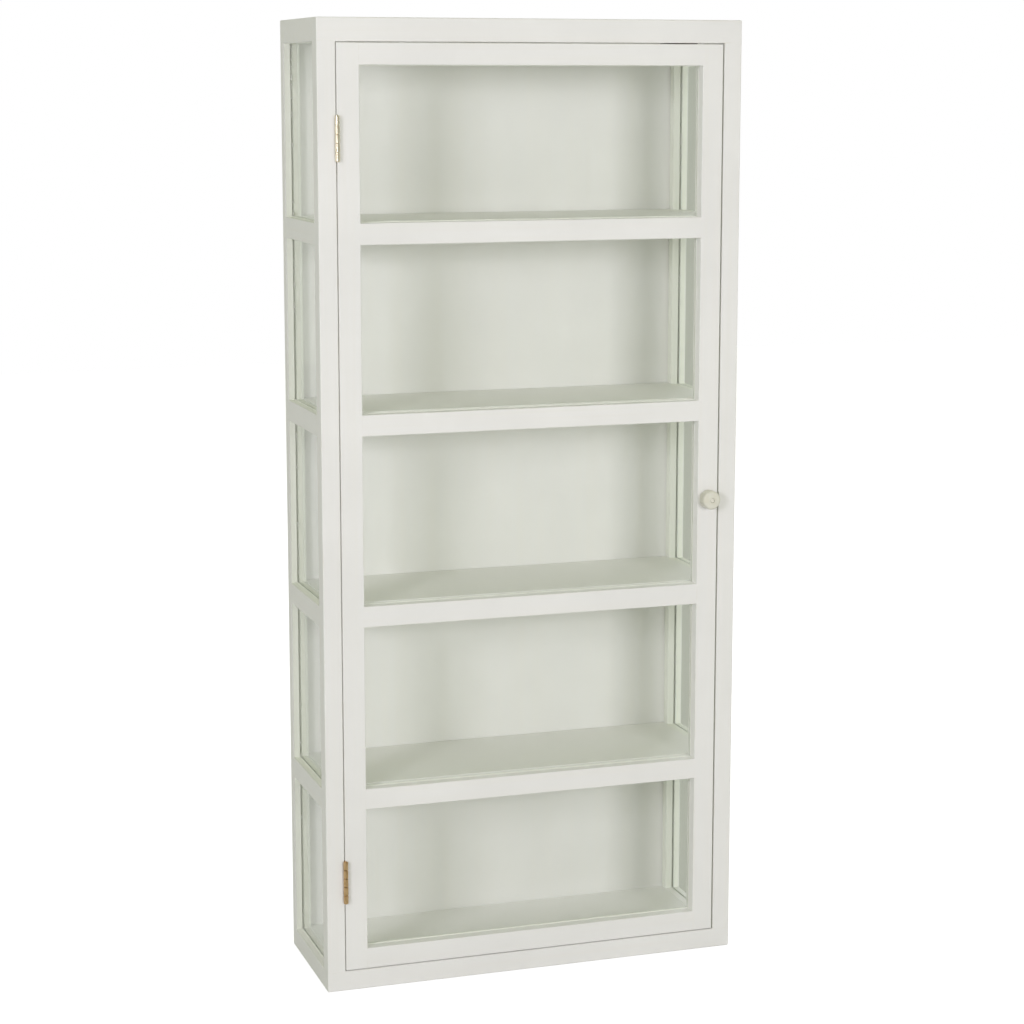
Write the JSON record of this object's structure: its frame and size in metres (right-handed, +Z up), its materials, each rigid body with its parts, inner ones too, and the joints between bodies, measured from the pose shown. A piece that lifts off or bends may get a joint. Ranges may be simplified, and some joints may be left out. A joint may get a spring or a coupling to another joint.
{
  "type": "wall mounted showcase",
  "caption": "Tall shallow painted wooden wall display cabinet with glazed sides, a glazed door with glazing rails level with fixed shelves, brass butt hinges, a round knob and a magnetic catch.",
  "frame": {"origin": "middle of the flat back face, where the cabinet meets the wall", "axes": "+X to the cabinet's right seen from the front, +Y into the wall, +Z up; the door faces -Y"},
  "size_m": [0.498, 0.1869, 1.1],
  "materials": {
    "frame_paint": "hand-brushed off-white satin paint on wood",
    "inside_paint": "brushed off-white matt paint on wood board",
    "glass": "clear float glass",
    "hinge_brass": "drawn brass, lightly tarnished",
    "knob_wood": "cream paint on turned wood",
    "plated_steel": "zinc plated",
    "catch_plastic": "moulded dark brown",
    "magnet": "ground ferrite between steel pole plates"
  },
  "bodies": {
    "cabinet": {"top_board": "frame_paint", "bottom_board": "frame_paint", "left_front_post": "frame_paint", "left_back_post": "frame_paint", "left_side_rail_1": "frame_paint", "left_side_rail_2": "frame_paint", "left_side_rail_3": "frame_paint", "left_side_rail_4": "frame_paint", "left_side_glass_1": "glass", "left_side_glass_2": "glass", "left_side_glass_3": "glass", "left_side_glass_4": "glass", "left_side_glass_5": "glass", "left_hanger_plate": "plated_steel", "right_front_post": "frame_paint", "right_back_post": "frame_paint", "right_side_rail_1": "frame_paint", "right_side_rail_2": "frame_paint", "right_side_rail_3": "frame_paint", "right_side_rail_4": "frame_paint", "right_side_glass_1": "glass", "right_side_glass_2": "glass", "right_side_glass_3": "glass", "right_side_glass_4": "glass", "right_side_glass_5": "glass", "right_hanger_plate": "plated_steel", "back_panel": "inside_paint", "shelf_1": "inside_paint", "shelf_2": "inside_paint", "shelf_3": "inside_paint", "shelf_4": "inside_paint", "catch_body": "catch_plastic", "catch_magnet": "magnet", "upper_hinge_frame_leaf": "hinge_brass", "upper_hinge_pin": "hinge_brass", "lower_hinge_frame_leaf": "hinge_brass", "lower_hinge_pin": "hinge_brass"},
    "door": {"door_left_stile": "frame_paint", "door_right_stile": "frame_paint", "door_top_rail": "frame_paint", "door_bottom_rail": "frame_paint", "door_rail_1": "frame_paint", "door_rail_2": "frame_paint", "door_rail_3": "frame_paint", "door_rail_4": "frame_paint", "door_glass_1": "glass", "door_glass_2": "glass", "door_glass_3": "glass", "door_glass_4": "glass", "door_glass_5": "glass", "upper_hinge_door_leaf": "hinge_brass", "lower_hinge_door_leaf": "hinge_brass", "knob": "knob_wood", "knob_plug": "knob_wood", "knob_screw": "plated_steel", "strike_plate": "plated_steel"}
  },
  "joints": [
    {"name": "door_hinge", "type": "hinge", "parent": "cabinet", "child": "door", "pos_m": [-0.2272, -0.174, 0], "axis": [0, 0, -1], "range_deg": [0, 135]}
  ]
}
